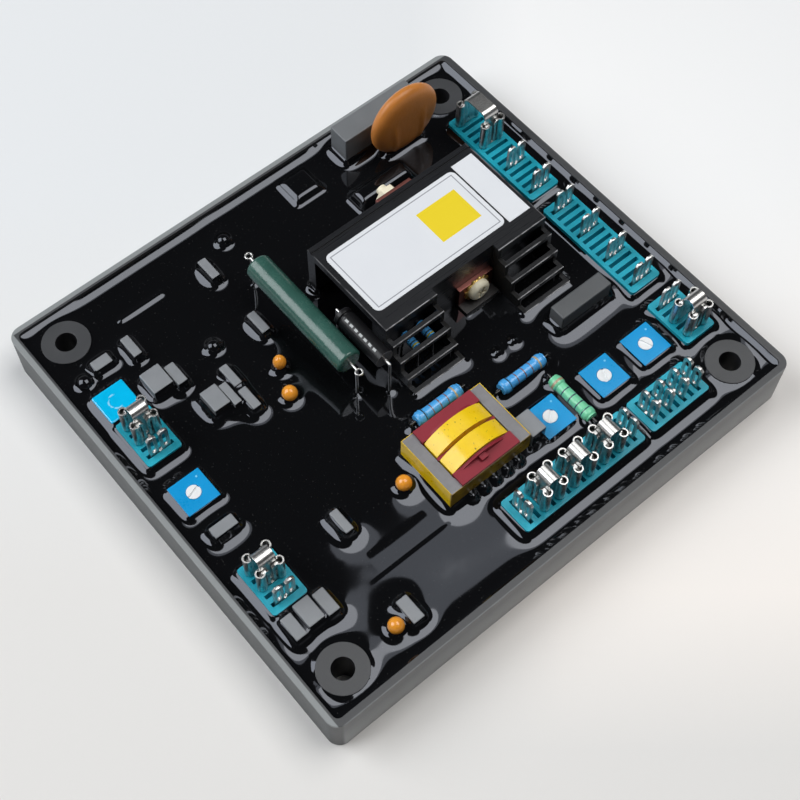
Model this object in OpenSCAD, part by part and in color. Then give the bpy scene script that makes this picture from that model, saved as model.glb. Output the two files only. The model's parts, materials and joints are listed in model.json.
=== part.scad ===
// Automatic voltage regulator for a small generator: a potted circuit board in a shallow moulded tray,
// with push-on terminal blocks, preset trimmers, a finned heatsink, a transformer and coated components.
// The origin is the bottom centre of the tray, +X runs along its long side and +Z points up.

/* [Tray] */
// Outer length of the tray along X
tray_l = 150; // [146:1:170]
// Outer width of the tray along Y
tray_w = 136; // [132:1:150]
// Outer height of the tray
tray_h = 15; // [14:0.5:20]
// Thickness of the side walls
wall_t = 2; // [1.5:0.1:2.5]
// Thickness of the floor
floor_t = 2; // [1.5:0.1:3]
// Outer radius of the upright corners
corner_r = 3.5; // [2.6:0.1:5]

/* [Corner bosses] */
// Diameter of each fixing boss
boss_d = 13; // [11:0.5:14]
// Diameter of each fixing hole
bolt_hole_d = 5.7; // [4:0.1:6.5]
// Distance of the fixing holes from the outer faces of the tray
boss_inset = 11; // [10:0.5:12]
// How far the top of a boss lies below the rim
boss_drop = 1.3; // [0.5:0.1:2.2]
// Width of the shoulder that carries the board, around each boss
shoulder_t = 1.2; // [0.8:0.1:1.6]

/* [Board and resin] */
// Space between the tray floor and the underside of the board
board_gap = 3; // [2:0.1:4]
// Thickness of the circuit board
board_t = 1.6; // [1:0.1:2.4]
// Gap between the board and the tray walls and bosses
board_clear = 0.6; // [0.3:0.1:1]
// How far the level of the resin lies below the rim
resin_drop = 2.5; // [2.3:0.1:4]
// Gap between the resin and whatever it surrounds
resin_clear = 0.1; // [0.05:0.01:0.2]

/* [Terminal blocks] */
// Width of a terminal block across its ways
block_w = 10.2; // [9.6:0.1:11]
// Length of one moulded module of a block
module_l = 5; // [4.8:0.1:5.2]
// Height of a block above the resin
block_proud = 2.5; // [1.5:0.1:4]
// Radius of the upright corners of a block
block_r = 0.9; // [0.4:0.1:1.4]
// Length of a slot across the block
slot_l = 7.8; // [7.4:0.1:8.4]
// Width of a slot
slot_w = 1.1; // [1:0.05:1.3]
// Depth of a slot
slot_depth = 3; // [2:0.1:4]
// Distance of the side blocks from the inner face of the tray wall
side_gap = 4.3; // [3:0.1:5]
// Distance of the front blocks from the inner face of the tray wall
front_gap = 6.5; // [5:0.1:7]

/* [Tabs and links] */
// Width of one blade of a twin tab
tab_w = 2.6; // [2.2:0.1:2.8]
// Thickness of a blade
tab_t = 0.8; // [0.5:0.1:0.8]
// Distance between the middles of the two blades
tab_pitch = 3.5; // [3.2:0.1:3.7]
// Height of the blades above the block
tab_h = 8.2; // [7.6:0.1:10]
// Width of the opening in a blade
tab_slot_w = 1.1; // [0.8:0.1:1.2]
// Bevel on the tip of a blade
tab_bevel = 0.8; // [0.4:0.1:1]
// Sheet thickness of a link
link_t = 0.4; // [0.3:0.05:0.6]
// Width of the strap of a link
link_w = 4.7; // [3.5:0.1:5]
// Height of the strap's top above the block
link_top = 11.8; // [11:0.1:14]
// Outer diameter of the rolled edges of a link
curl_d = 2.5; // [2.2:0.05:2.6]
// Height of the gripping sleeve of a link
sleeve_h = 8.4; // [5:0.1:8.6]
// Gap between a link and the blades that it grips
link_clear = 0.1; // [0.05:0.01:0.15]

/* [Trimmers] */
// Side of a square trimmer body
trimmer_w = 9.5; // [8:0.1:9.8]
// Height of a trimmer above the resin
trimmer_proud = 1.8; // [1:0.1:4]
// Diameter of the adjusting rotor
rotor_d = 3.8; // [3:0.1:5]
// Height of the rotor
rotor_h = 2.4; // [1.5:0.1:4]
// Width of the screwdriver slot in the rotor
rotor_slot_w = 0.7; // [0.5:0.05:1]
// Depth of the screwdriver slot in the rotor
rotor_slot_depth = 0.4; // [0.3:0.1:1.2]
// Running clearance around the rotor
rotor_clear = 0.05; // [0.02:0.01:0.1]

/* [Heatsink] */
// Length of the extrusion along X
sink_l = 53.8; // [50:0.2:56]
// Depth of the top plate along Y
sink_plate_w = 31.5; // [28:0.5:33]
// Height of the heatsink above the resin
sink_proud = 17; // [15:0.5:20]
// Thickness of the top plate
sink_plate_t = 2.4; // [1.5:0.1:3]
// Thickness of the front and back walls
sink_wall_t = 3; // [2:0.1:4]
// Height of a fin bar
fin_t = 1.5; // [1:0.1:2]
// Depth of a fin bar
fin_w = 1.4; // [1:0.1:1.8]
// Height from one fin bar to the next
fin_pitch = 4.25; // [3.5:0.05:4.6]
// How much further each lower fin bar reaches forward
fin_step = 2.95; // [2.8:0.05:3.2]
// Thickness of the stepped cheeks that carry the fin bars
cheek_t = 1.2; // [1:0.1:2.2]
// Width of the pocket between the fins for the power device
pocket_w = 20.8; // [19.6:0.2:21.4]
// Depth of the groove along the back of the top plate
groove_d = 0.4; // [0.2:0.05:0.8]
// Thickness of the labels
label_t = 0.2; // [0.1:0.05:0.4]

/* [Power devices] */
// Width of a power device
device_w = 11.6; // [9:0.1:13]
// Thickness of a power device's moulding
device_t = 4.6; // [3.5:0.1:5]
// Thickness of a power device's metal tab
device_tab_t = 1.3; // [0.8:0.1:1.6]
// Height of the front device's screw above the resin
front_screw_z = 5; // [4:0.1:7]
// Height of the rear device's bolt above the resin
rear_bolt_z = 11.4; // [10:0.1:11.6]
// Shank diameter of the screw and the bolt
shank_d = 3; // [2.5:0.1:3.5]
// Gap around a shank in its holes
shank_clear = 0.1; // [0.05:0.05:0.3]

/* [Transformer] */
// Length of the core along X
core_l = 25.5; // [24:0.5:25.5]
// Depth of the core along Y
core_w = 18.7; // [17.5:0.1:19]
// Height of the core above the resin
core_proud = 8.2; // [7:0.1:10]
// How deep the core dips below the level of the resin
core_dip = 1.5; // [1:0.1:2.5]
// Width of the outer legs of the core
core_leg_w = 3.4; // [3:0.1:4]
// Width of the yokes of the core
core_yoke_w = 3; // [2.5:0.1:3.5]
// Side of the square middle leg of the core
core_mid_w = 5.5; // [4:0.1:6]
// Height of the winding's crown above the core
winding_crown = 3.3; // [1.8:0.1:3.5]
// Thickness of the bobbin's walls and flanges
bobbin_t = 0.8; // [0.6:0.1:1]
// Diameter of a transformer pin
pin_d = 0.9; // [0.6:0.1:1.2]
// Distance between transformer pins
pin_pitch = 3.75; // [3:0.05:4]

/* [Capacitors and resistors] */
// Length of the green power resistor's body
power_res_l = 38; // [32:0.5:40]
// Diameter of the green power resistor's body
power_res_d = 7.2; // [5:0.1:8]
// Height of the power resistor's axis above the resin
power_res_z = 12; // [6:0.5:14]
// Diameter of the lead wires
lead_d = 0.8; // [0.6:0.05:1]
// Length of the electrolytic capacitor's can
can_l = 16.8; // [12:0.2:18]
// Diameter of the electrolytic capacitor's can
can_d = 5.3; // [4:0.1:5.4]
// Height of the can's axis above the resin
can_z = 13.5; // [6:0.5:15]
// Diameter of the disc varistor
disc_d = 22.4; // [18:0.2:23]
// Thickness of the disc varistor
disc_t = 5; // [3.5:0.1:5.5]
// Gap between the resin and the disc varistor
disc_gap = 0.8; // [0.4:0.1:2]
// Distance between the disc varistor's legs
disc_leg_pitch = 10; // [7.5:0.5:12]
// Body length of an axial resistor
axial_l = 14.4; // [12:0.2:15]
// End diameter of an axial resistor
axial_d = 3.9; // [3:0.1:4.2]
// Gap between the resin and an axial resistor
axial_gap = 0.6; // [0.3:0.1:2]
// Diameter of a bead capacitor
bead_d = 4.2; // [3:0.1:5]

/* [Hidden] */
$fn = 48;

// Levels
board_z = floor_t + board_gap;
board_top = board_z + board_t;
resin_z = tray_h - resin_drop;
block_top = resin_z + block_proud;
trimmer_top = resin_z + trimmer_proud;
sink_top = resin_z + sink_proud;
core_top = resin_z + core_proud;
core_z = resin_z - core_dip;
eps = 0.01;

// Inside of the tray, and the four fixing holes
inner_l = tray_l - 2 * wall_t;
inner_w = tray_w - 2 * wall_t;
inner_r = corner_r - wall_t;
boss_x = tray_l / 2 - boss_inset;
boss_y = tray_w / 2 - boss_inset;
boss_spots = [for (sx = [-1, 1], sy = [-1, 1]) [sx * boss_x, sy * boss_y]];

// The layout is drawn for this inside of the tray: it spreads with the tray, and shrinks with a smaller one
layout_l = 146;
layout_w = 132;
spread_x = inner_l / layout_l;
spread_y = inner_w / layout_w;
fit = min(1, spread_x, spread_y);

// Terminal blocks: middle of each block, turn about Z, number of modules and the ways that hold tabs
side_x = inner_l / 2 - (side_gap + block_w / 2) * fit;
front_y = -inner_w / 2 + (front_gap + block_w / 2) * fit;
block_a = [[side_x, 29.8 * spread_y], 90, 7, [-3, -1, 1, 3]];
block_b = [[side_x, -9.4 * spread_y], 90, 7, [-3, -1, 1, 3]];
block_c = [[side_x, -39.4 * spread_y], 90, 3, [-1, 0, 1]];
block_d = [[43.8 * spread_x, front_y], 0, 4, [-1.5, -0.5, 0.5, 1.5]];
block_e = [[11.3 * spread_x, front_y], 0, 8, [for (i = [0:7]) i - 3.5]];
block_f = [[-side_x, 20.4 * spread_y], 90, 3, [-1, 0, 1]];
block_g = [[-side_x, -29.9 * spread_y], 90, 3, [-1, 0, 1]];
blocks = [block_a, block_b, block_c, block_d, block_e, block_f, block_g];
tab_half = (tab_pitch + tab_w) / 2;
plate_in = tab_t / 2 + link_clear;

// Trimmers
trimmer_spots = [[-64, 1], [36.1, -39.5], [50.8, -39.5], [17.4, -39.4]];
rotor_turns = [20, 65, 110, 40];
sealed_spot = [-64, 34];
rotor_z = trimmer_top - rotor_h;

// Heatsink: front edge of the top plate, left end, the pocket's middle, and the bays of fin bars beside it
sink_front = -0.9;
sink_x = -4.3;
sink_back = sink_front + sink_plate_w;
fin_count = 3;
foot_front = sink_front - (fin_count + 1) * fin_step;
foot_top = resin_z + 0.9;
sink_wall_y = sink_front + 2.35;
pocket_x = 22.9;
sink_at = [pocket_x, 9];
bay_foot_z = resin_z - 1.5;
bay_xs = [sink_x, pocket_x + pocket_w / 2];
bay_ls = [pocket_x - pocket_w / 2 - sink_x, sink_x + sink_l - pocket_x - pocket_w / 2];
groove_w = 0.8;
groove_in = 1.4;
tunnel_y0 = sink_wall_y + sink_wall_t;
tunnel_y1 = sink_back - sink_wall_t;

// Power devices, in the pocket and behind the back wall
front_device_x = 27.2;
rear_device_x = 25.2;
front_moulding_top = resin_z + 1.4;
front_tab_top = resin_z + 8;
rear_moulding_top = resin_z + 7.6;
rear_tab_top = sink_top - 0.6;
screw_head_d = 6.4;
screw_head_t = 2.4;
nut_w = 5.5;
nut_t = 2.4;
bolt_end = 1.9;

// Labels on the heatsink's plate: middle, length and width
label_at = [19.1, 15.2];
label_size = [43.3, 21.7];
label_r = 1.8;
strip_at = [44.8, 15.4];
strip_size = [7.1, 23.1];

// Transformer
core_at = [-5.4, -32.8];
window_l = core_l - 2 * core_leg_w;
window_w = core_w - 2 * core_yoke_w;
core_clear = 0.1;
mid_z = (core_z + core_top) / 2;
winding_l = window_l - 2 * core_clear;
crown_r = 14;
flange_drop = 0.7;
bobbin_key = [2, 1.4, 1];
bobbin_foot_t = 0.8;
pin_count = 5;

// Components that stand on the board: middle of each one, size along X and Y, and height above the resin
small_caps = [[[-52.1, 44.3], [2.5, 6.8], 3], [[-53.2, 31.2], [5.9, 6.9], 5], [[-48.3, 29.8], [3, 6.7], 4],
    [[-44.9, 17.5], [4.9, 6.8], 4.5], [[-41.1, 16.3], [2.3, 7.2], 4], [[-37.6, 21], [2.4, 7], 3],
    [[-37.8, 12.7], [2.5, 6.9], 3], [[-22.4, 50.8], [2.5, 7], 3], [[-22.4, 29.1], [2.5, 7.1], 3],
    [[-64, -11.4], [6.8, 3.3], 3], [[-41.3, -28.5], [2.4, 6.9], 3], [[-66.8, -42.3], [3.2, 6.7], 3],
    [[-61.9, -41.8], [4.7, 6.9], 4], [[-57.1, -42.2], [3.4, 6.9], 3], [[-43.1, -56.3], [3.3, 7], 3],
    [[10.1, -39.3], [4.6, 6.9], 7], [[-60.6, 45.5], [5.2, 3.2], 2.6]];
coated_boxes = [[[14, 57.8], [8.8, 8.6], 1.8], [[31, 43], [18, 6], 3.6], [[-32.6, -42.2], [18.4, 4.6], 0.8]];
domes = [[[-67, 44.1], 5.2, 2.5], [[-35.2, 31.8], 4.6, 2.2], [[-13.3, 56.9], 4.6, 2.2]];
film_cap = [[45.5, -20.2], [17.2, 4.9], 7];
box_cap = [[41.8, 58.9], [26.6, 6.8], 10.3];
bead_spots = [[-25.9, 15.6], [-29, 7.5], [-23, -30.2], [-48.1, -57.1]];
bead_lifts = [1.4, 0, 0, 0];
bead_neck_d = 2;
disc_at = [45.2, 50.8];
disc_z = resin_z + disc_gap + disc_d / 2;

// Wired components: middle of each one, and how far its leads reach past its ends
power_res_at = [-15.1, 19.1];
power_lead_reach = 2.6;
eye_r = 0.9;
eye_wire_d = 0.6;
can_at = [-8.4, 3.1];
can_lead_reach = 2;
axial_reach = 1.6;
axial_z = resin_z + axial_gap + axial_d / 2;
blue_a_at = [-2.5, -19.2];
blue_b_at = [19.8, -26.1];
green_at = [24.8, -39.4];
small_blue_spots = [[2.9, -2.1], [7.9, -2.1]];
small_blue_l = 5;
small_blue_d = 2.5;
small_blue_z = resin_z + 6.2;
small_blue_reach = 0.45;
small_lead_d = 0.6;

// A rectangle with rounded corners, in plan
module rounded_rect(l, w, r) {
    square([l - 2 * r, w], center = true);
    square([l, w - 2 * r], center = true);
    for (sx = [-1, 1], sy = [-1, 1]) translate([sx * (l / 2 - r), sy * (w / 2 - r)]) circle(r);
}

// Keeps a component at its place in the layout, p, when the tray's size changes
module keep(p) {
    translate([p[0] * (spread_x - fit), p[1] * (spread_y - fit), 0]) scale([fit, fit, 1]) children();
}

// Puts a terminal block, its tabs or its links at height z
module on_block(b, z) {
    translate([b[0][0], b[0][1], z]) scale([fit, fit, 1]) rotate(b[1]) children();
}

// Tray with four fixing bosses, each with a shoulder for the board
module tray() {
    color([0.13, 0.13, 0.14]) difference() {
        union() {
            difference() {
                linear_extrude(tray_h) rounded_rect(tray_l, tray_w, corner_r);
                translate([0, 0, floor_t]) linear_extrude(tray_h) rounded_rect(inner_l, inner_w, inner_r);
            }
            for (p = boss_spots) translate([p[0], p[1], 0]) {
                cylinder(d = boss_d + 2 * shoulder_t, h = board_z);
                cylinder(d = boss_d, h = tray_h - boss_drop);
            }
        }
        for (p = boss_spots) translate([p[0], p[1], -1]) cylinder(d = bolt_hole_d, h = tray_h + 2);
    }
}

// Circuit board, which rests on the shoulders of the bosses
module circuit_board() {
    color([0.1, 0.35, 0.2]) translate([0, 0, board_z]) linear_extrude(board_t) difference() {
        square([inner_l - 2 * board_clear, inner_w - 2 * board_clear], center = true);
        for (p = boss_spots) translate(p) circle(d = boss_d + 2 * board_clear);
    }
}

// Plan of the heatsink's two walls, grown by a gap
module sink_walls(c) {
    for (y = [sink_wall_y, tunnel_y1]) translate([sink_x - c, y - c])
        square([sink_l + 2 * c, sink_wall_t + 2 * c]);
}

// Plan of the bar and the cheeks at the foot of each bay, grown by a gap
module bay_feet(c) {
    for (i = [0, 1]) translate([bay_xs[i] - c, foot_front - c]) {
        square([bay_ls[i] + 2 * c, fin_w + 2 * c]);
        for (x = [0, bay_ls[i] - cheek_t]) translate([x, 0])
            square([cheek_t + 2 * c, sink_wall_y - foot_front + 2 * c]);
    }
}

// Plan of a rectangular component, grown by a gap
module box_plan(b, c) {
    keep(b[0]) translate(b[0]) square([b[1][0] + 2 * c, b[1][1] + 2 * c], center = true);
}

// Plan of a power device, grown by a gap
module device_plan(x, y, c) {
    translate([x - device_w / 2 - c, y - c]) square([device_w + 2 * c, device_t + 2 * c]);
}

// Plan of the two leads of a component at p, grown by a gap: d is the lead's diameter and r points to its foot
module lead_plan(p, d, r, c) {
    keep(p) for (s = [-1, 1]) translate(p + s * r) circle(d = d + 2 * c);
}

// Plan of everything that passes through the surface of the resin, grown by a gap
module resin_cuts(c) {
    for (p = boss_spots) translate(p) circle(d = boss_d + 2 * c);
    for (b = blocks) on_block(b, 0) rounded_rect(b[2] * module_l + 2 * c, block_w + 2 * c, block_r + c);
    for (p = concat(trimmer_spots, [sealed_spot])) keep(p) translate(p)
        square(trimmer_w + 2 * c, center = true);
    keep(sink_at) {
        sink_walls(c);
        device_plan(front_device_x, sink_wall_y - device_t, c);
        device_plan(rear_device_x, sink_back, c);
    }
    keep(core_at) translate(core_at) square([core_l + 2 * c, core_w + 2 * c], center = true);
    for (b = concat(small_caps, coated_boxes, [film_cap, box_cap])) box_plan(b, c);
    for (d = domes) keep(d[0]) translate(d[0]) circle(d = d[1] + 2 * c);
    for (p = bead_spots) keep(p) translate(p) circle(d = bead_neck_d + 2 * c);
    lead_plan(power_res_at, lead_d, [0, power_res_l / 2 + power_lead_reach], c);
    lead_plan(can_at, lead_d, [0, can_l / 2 + can_lead_reach], c);
    lead_plan(disc_at, lead_d, [disc_leg_pitch / 2, 0], c);
    for (p = [blue_a_at, blue_b_at]) lead_plan(p, lead_d, [axial_l / 2 + axial_reach, 0], c);
    lead_plan(green_at, lead_d, [0, axial_l / 2 + axial_reach], c);
    keep(sink_at) for (p = small_blue_spots, s = [-1, 1])
        translate(p + [0, s * (small_blue_l / 2 + small_blue_reach)]) circle(d = small_lead_d + 2 * c);
}

// Potting resin: it fills the tray up to its level and wraps the board and the feet of the components
module potting_resin() {
    color([0.02, 0.02, 0.025]) difference() {
        translate([0, 0, floor_t]) linear_extrude(resin_z - floor_t)
            rounded_rect(inner_l - 2 * resin_clear, inner_w - 2 * resin_clear, inner_r);
        translate([0, 0, board_z - resin_clear]) linear_extrude(board_t + 2 * resin_clear)
            square([inner_l - 2 * board_clear + 2 * resin_clear, inner_w - 2 * board_clear + 2 * resin_clear],
                center = true);
        translate([0, 0, board_top]) linear_extrude(resin_z) resin_cuts(resin_clear);
        translate([0, 0, bay_foot_z - resin_clear]) linear_extrude(resin_z) keep(sink_at) bay_feet(resin_clear);
        for (p = boss_spots) translate([p[0], p[1], floor_t - 1]) {
            cylinder(d = boss_d + 2 * shoulder_t + 2 * resin_clear, h = board_z - floor_t + 1);
            cylinder(d = boss_d + 2 * resin_clear, h = tray_h);
        }
    }
}

// Side view of the heatsink's channel: a grooved top plate on two walls
module channel_shape() {
    difference() {
        translate([sink_front, sink_top - sink_plate_t]) square([sink_plate_w, sink_plate_t]);
        translate([sink_back - groove_in - groove_w, sink_top - groove_d]) square([groove_w, groove_d + 1]);
    }
    for (y = [sink_wall_y, tunnel_y1]) translate([y, board_top])
        square([sink_wall_t, sink_top - board_top - sink_plate_t]);
}

// Side view of the fin bars, which step forward and down from the top plate
module fin_shape() {
    for (i = [1:fin_count]) translate([sink_front - i * fin_step, sink_top - i * fin_pitch - fin_t])
        square([fin_w, fin_t]);
    translate([foot_front, bay_foot_z]) square([fin_w, foot_top - bay_foot_z]);
}

// Side view of a stepped cheek, which carries the ends of the fin bars
module cheek_shape() {
    translate([sink_front, bay_foot_z]) square([sink_wall_y - sink_front, sink_top - bay_foot_z - groove_d]);
    for (i = [1:fin_count]) translate([sink_front - i * fin_step, bay_foot_z])
        square([sink_wall_y - sink_front + i * fin_step, sink_top - bay_foot_z - i * fin_pitch]);
    translate([foot_front, bay_foot_z]) square([sink_wall_y - foot_front, foot_top - bay_foot_z]);
}

// Heatsink: the channel, a bay of fin bars on each side of the pocket, and holes for the screw and the bolt
module heatsink() {
    color([0.06, 0.06, 0.07]) keep(sink_at) difference() {
        union() {
            translate([sink_x, 0, 0]) rotate([90, 0, 90]) linear_extrude(sink_l) channel_shape();
            for (i = [0, 1]) translate([bay_xs[i], 0, 0]) rotate([90, 0, 90]) {
                linear_extrude(bay_ls[i]) fin_shape();
                for (x = [0, bay_ls[i] - cheek_t]) translate([0, 0, x]) linear_extrude(cheek_t) cheek_shape();
            }
        }
        translate([pocket_x - pocket_w / 2, sink_front - 1, board_top])
            cube([pocket_w, sink_wall_y - sink_front + 1, sink_top - board_top + 1]);
        for (y = [[front_device_x, sink_wall_y, front_screw_z], [rear_device_x, tunnel_y1, rear_bolt_z]])
            translate([y[0], y[1] - 1, resin_z + y[2]]) rotate([-90, 0, 0])
                cylinder(d = shank_d + 2 * shank_clear, h = sink_wall_t + 2);
    }
}

// Plain white label on the top plate
module blank_label() {
    color([0.92, 0.93, 0.95]) keep(sink_at) translate([label_at[0], label_at[1], sink_top])
        linear_extrude(label_t) rounded_rect(label_size[0], label_size[1], label_r);
}

// Narrow label beside it
module strip_label() {
    color([0.92, 0.93, 0.95]) keep(sink_at) translate([strip_at[0], strip_at[1], sink_top])
        linear_extrude(label_t) square(strip_size, center = true);
}

// A power device that stands on the board, with its metal tab against a wall of the heatsink
// d points away from the wall: -1 in the pocket, 1 behind the back wall
module power_device(x, wall_y, d, moulding_top, tab_top, hole_z) {
    difference() {
        union() {
            translate([x - device_w / 2, min(wall_y, wall_y + d * device_t), board_top])
                cube([device_w, device_t, moulding_top - board_top]);
            translate([x - device_w / 2, min(wall_y, wall_y + d * device_tab_t), board_top])
                cube([device_w, device_tab_t, tab_top - board_top]);
        }
        translate([x, wall_y - d, hole_z]) rotate([-90 * d, 0, 0])
            cylinder(d = shank_d + 2 * shank_clear, h = device_t + 2);
    }
}

module front_power_device() {
    color([0.35, 0.24, 0.22]) keep(sink_at)
        power_device(front_device_x, sink_wall_y, -1, front_moulding_top, front_tab_top,
            resin_z + front_screw_z);
}

module rear_power_device() {
    color([0.2, 0.2, 0.21]) keep(sink_at)
        power_device(rear_device_x, sink_back, 1, rear_moulding_top, rear_tab_top, resin_z + rear_bolt_z);
}

// Pan-head screw that holds the front device to the front wall
module front_device_screw() {
    color([0.8, 0.77, 0.62]) keep(sink_at)
        translate([front_device_x, sink_wall_y - device_tab_t, resin_z + front_screw_z]) rotate([90, 0, 0]) {
            intersection() {
                cylinder(d = screw_head_d, h = screw_head_t);
                translate([0, 0, screw_head_t - screw_head_d * 0.8]) sphere(r = screw_head_d * 0.8);
            }
            translate([0, 0, -device_tab_t - sink_wall_t])
                cylinder(d = shank_d, h = device_tab_t + sink_wall_t);
        }
}

// Bolt, washer and nut that hold the rear device to the back wall, with the bolt's head inside the channel
module rear_device_bolt() {
    stack = sink_wall_t + device_tab_t;
    washer_t = 0.5;
    color([0.85, 0.84, 0.78]) keep(sink_at)
        translate([rear_device_x, tunnel_y1, resin_z + rear_bolt_z]) rotate([-90, 0, 0]) {
        translate([0, 0, -nut_t]) cylinder(d = nut_w, h = nut_t);
        cylinder(d = shank_d, h = stack + washer_t + nut_t + bolt_end);
        translate([0, 0, stack]) cylinder(d = nut_w + 1.4, h = washer_t);
        translate([0, 0, stack + washer_t]) cylinder(d = nut_w / cos(30), h = nut_t, $fn = 6);
    }
}

// Terminal block: a moulded bar with a slot every half module
module terminal_block(b) {
    n = b[2];
    color([0.14, 0.62, 0.72]) on_block(b, 0) difference() {
        translate([0, 0, board_top]) linear_extrude(block_top - board_top)
            rounded_rect(n * module_l, block_w, block_r);
        for (i = [0:2 * n - 2]) translate([(i - n + 1) * module_l / 2, 0, block_top - slot_depth / 2 + 0.5])
            cube([slot_w, slot_l, slot_depth + 1], center = true);
    }
}

// Side view of a twin tab: a base in the slot and two open blades with bevelled tips
module twin_tab_shape() {
    base = slot_depth - link_clear;
    translate([-tab_half, -base]) square([2 * tab_half, base]);
    slot_r = tab_slot_w / 2;
    slot_z = [0.9 + slot_r, tab_h - 1.5 - slot_r];
    for (s = [-1, 1]) translate([s * tab_pitch / 2, 0]) difference() {
        polygon([[-tab_w / 2, 0], [tab_w / 2, 0], [tab_w / 2, tab_h - tab_bevel], [tab_w / 2 - tab_bevel, tab_h],
            [tab_bevel - tab_w / 2, tab_h], [-tab_w / 2, tab_h - tab_bevel]]);
        for (z = slot_z) translate([0, z]) circle(slot_r);
        translate([-slot_r, slot_z[0]]) square([tab_slot_w, slot_z[1] - slot_z[0]]);
    }
}

// One twin tab in each wired way of a block
module blade_tabs(b) {
    color([0.78, 0.77, 0.74]) on_block(b, block_top)
        for (w = b[3]) translate([w * module_l - tab_t / 2, 0, 0]) rotate([90, 0, 90])
            linear_extrude(tab_t) twin_tab_shape();
}

// Plan of a gripping sleeve: a plate beside the blades with both edges rolled round them
module sleeve_plan() {
    curl_c = tab_half - 0.3;
    translate([plate_in, -curl_c]) square([link_t, 2 * curl_c]);
    for (s = [-1, 1]) translate([0, s * curl_c]) difference() {
        circle(d = curl_d);
        circle(d = curl_d - 2 * link_t);
        translate([-plate_in, s > 0 ? -curl_d : 0]) square([2 * plate_in, curl_d]);
    }
}

// Side view of a link's strap: an arch between two ways, outer or inner line
module arch(half, top, r) {
    for (s = [-1, 1]) translate([s * (half - r), top - r]) circle(r);
    translate([-half + r, 0]) square([2 * (half - r), top]);
    translate([-half, 0]) square([2 * half, top - r]);
}

// Bright sheet-metal link over two ways: a sleeve on each tab, and a strap between them
module link(b, way_a, way_b) {
    span = abs(way_b - way_a) * module_l;
    half = span / 2 - plate_in;
    bend_r = min(half - 0.1, 2);
    lift = 0.4;
    color([0.86, 0.86, 0.86]) on_block(b, block_top + lift)
        translate([(way_a + way_b) / 2 * module_l, 0, 0]) {
            for (s = [-1, 1]) translate([s * span / 2, 0, 0]) mirror([s > 0 ? 1 : 0, 0, 0])
                linear_extrude(sleeve_h) sleeve_plan();
            translate([0, link_w / 2, 0]) rotate([90, 0, 0]) linear_extrude(link_w) difference() {
                arch(half, link_top - lift, bend_r);
                translate([0, -eps]) arch(half - link_t, link_top - lift - link_t + eps, bend_r - link_t);
            }
        }
}

// Trimmer body, with a round seat for its rotor
module trimmer(p) {
    color([0.1, 0.55, 0.85]) keep(p) difference() {
        translate([p[0] - trimmer_w / 2, p[1] - trimmer_w / 2, board_top])
            cube([trimmer_w, trimmer_w, trimmer_top - board_top]);
        translate([p[0], p[1], rotor_z - 2 * rotor_clear])
            cylinder(d = rotor_d + 2 * rotor_clear, h = rotor_h + 1);
    }
}

// Slotted rotor of a trimmer
module trimmer_rotor(i) {
    p = trimmer_spots[i];
    color([0.9, 0.9, 0.88]) keep(p) translate([p[0], p[1], rotor_z]) difference() {
        cylinder(d = rotor_d, h = rotor_h);
        rotate(rotor_turns[i]) translate([-rotor_d, -rotor_slot_w / 2, rotor_h - rotor_slot_depth])
            cube([2 * rotor_d, rotor_slot_w, rotor_slot_depth + 1]);
    }
}

// Trimmer that was set and then sealed over with lacquer, so its rotor doesn't turn
module sealed_trimmer() {
    color([0.0, 0.68, 0.9]) keep(sealed_spot)
        translate([sealed_spot[0], sealed_spot[1], (board_top + trimmer_top) / 2])
            cube([trimmer_w, trimmer_w, trimmer_top - board_top], center = true);
}

// Laminated core: an outer frame and a middle leg
module transformer_core() {
    color([0.55, 0.53, 0.5]) keep(core_at) translate([core_at[0], core_at[1], 0]) {
        translate([0, 0, core_z]) linear_extrude(core_top - core_z) difference() {
            square([core_l, core_w], center = true);
            square([window_l, window_w], center = true);
        }
        translate([0, 0, mid_z]) cube([core_mid_w, window_w, core_mid_w], center = true);
    }
}

// Side view of an end flange, which rises in an arc a little below the winding's crown
module flange_shape(w, z) {
    translate([-w / 2, z]) square([w, core_top + bobbin_t - z]);
    intersection() {
        translate([-w / 2, core_top]) square([w, winding_crown]);
        translate([0, core_top + winding_crown - crown_r]) circle(crown_r - flange_drop, $fn = 96);
    }
}

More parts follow.
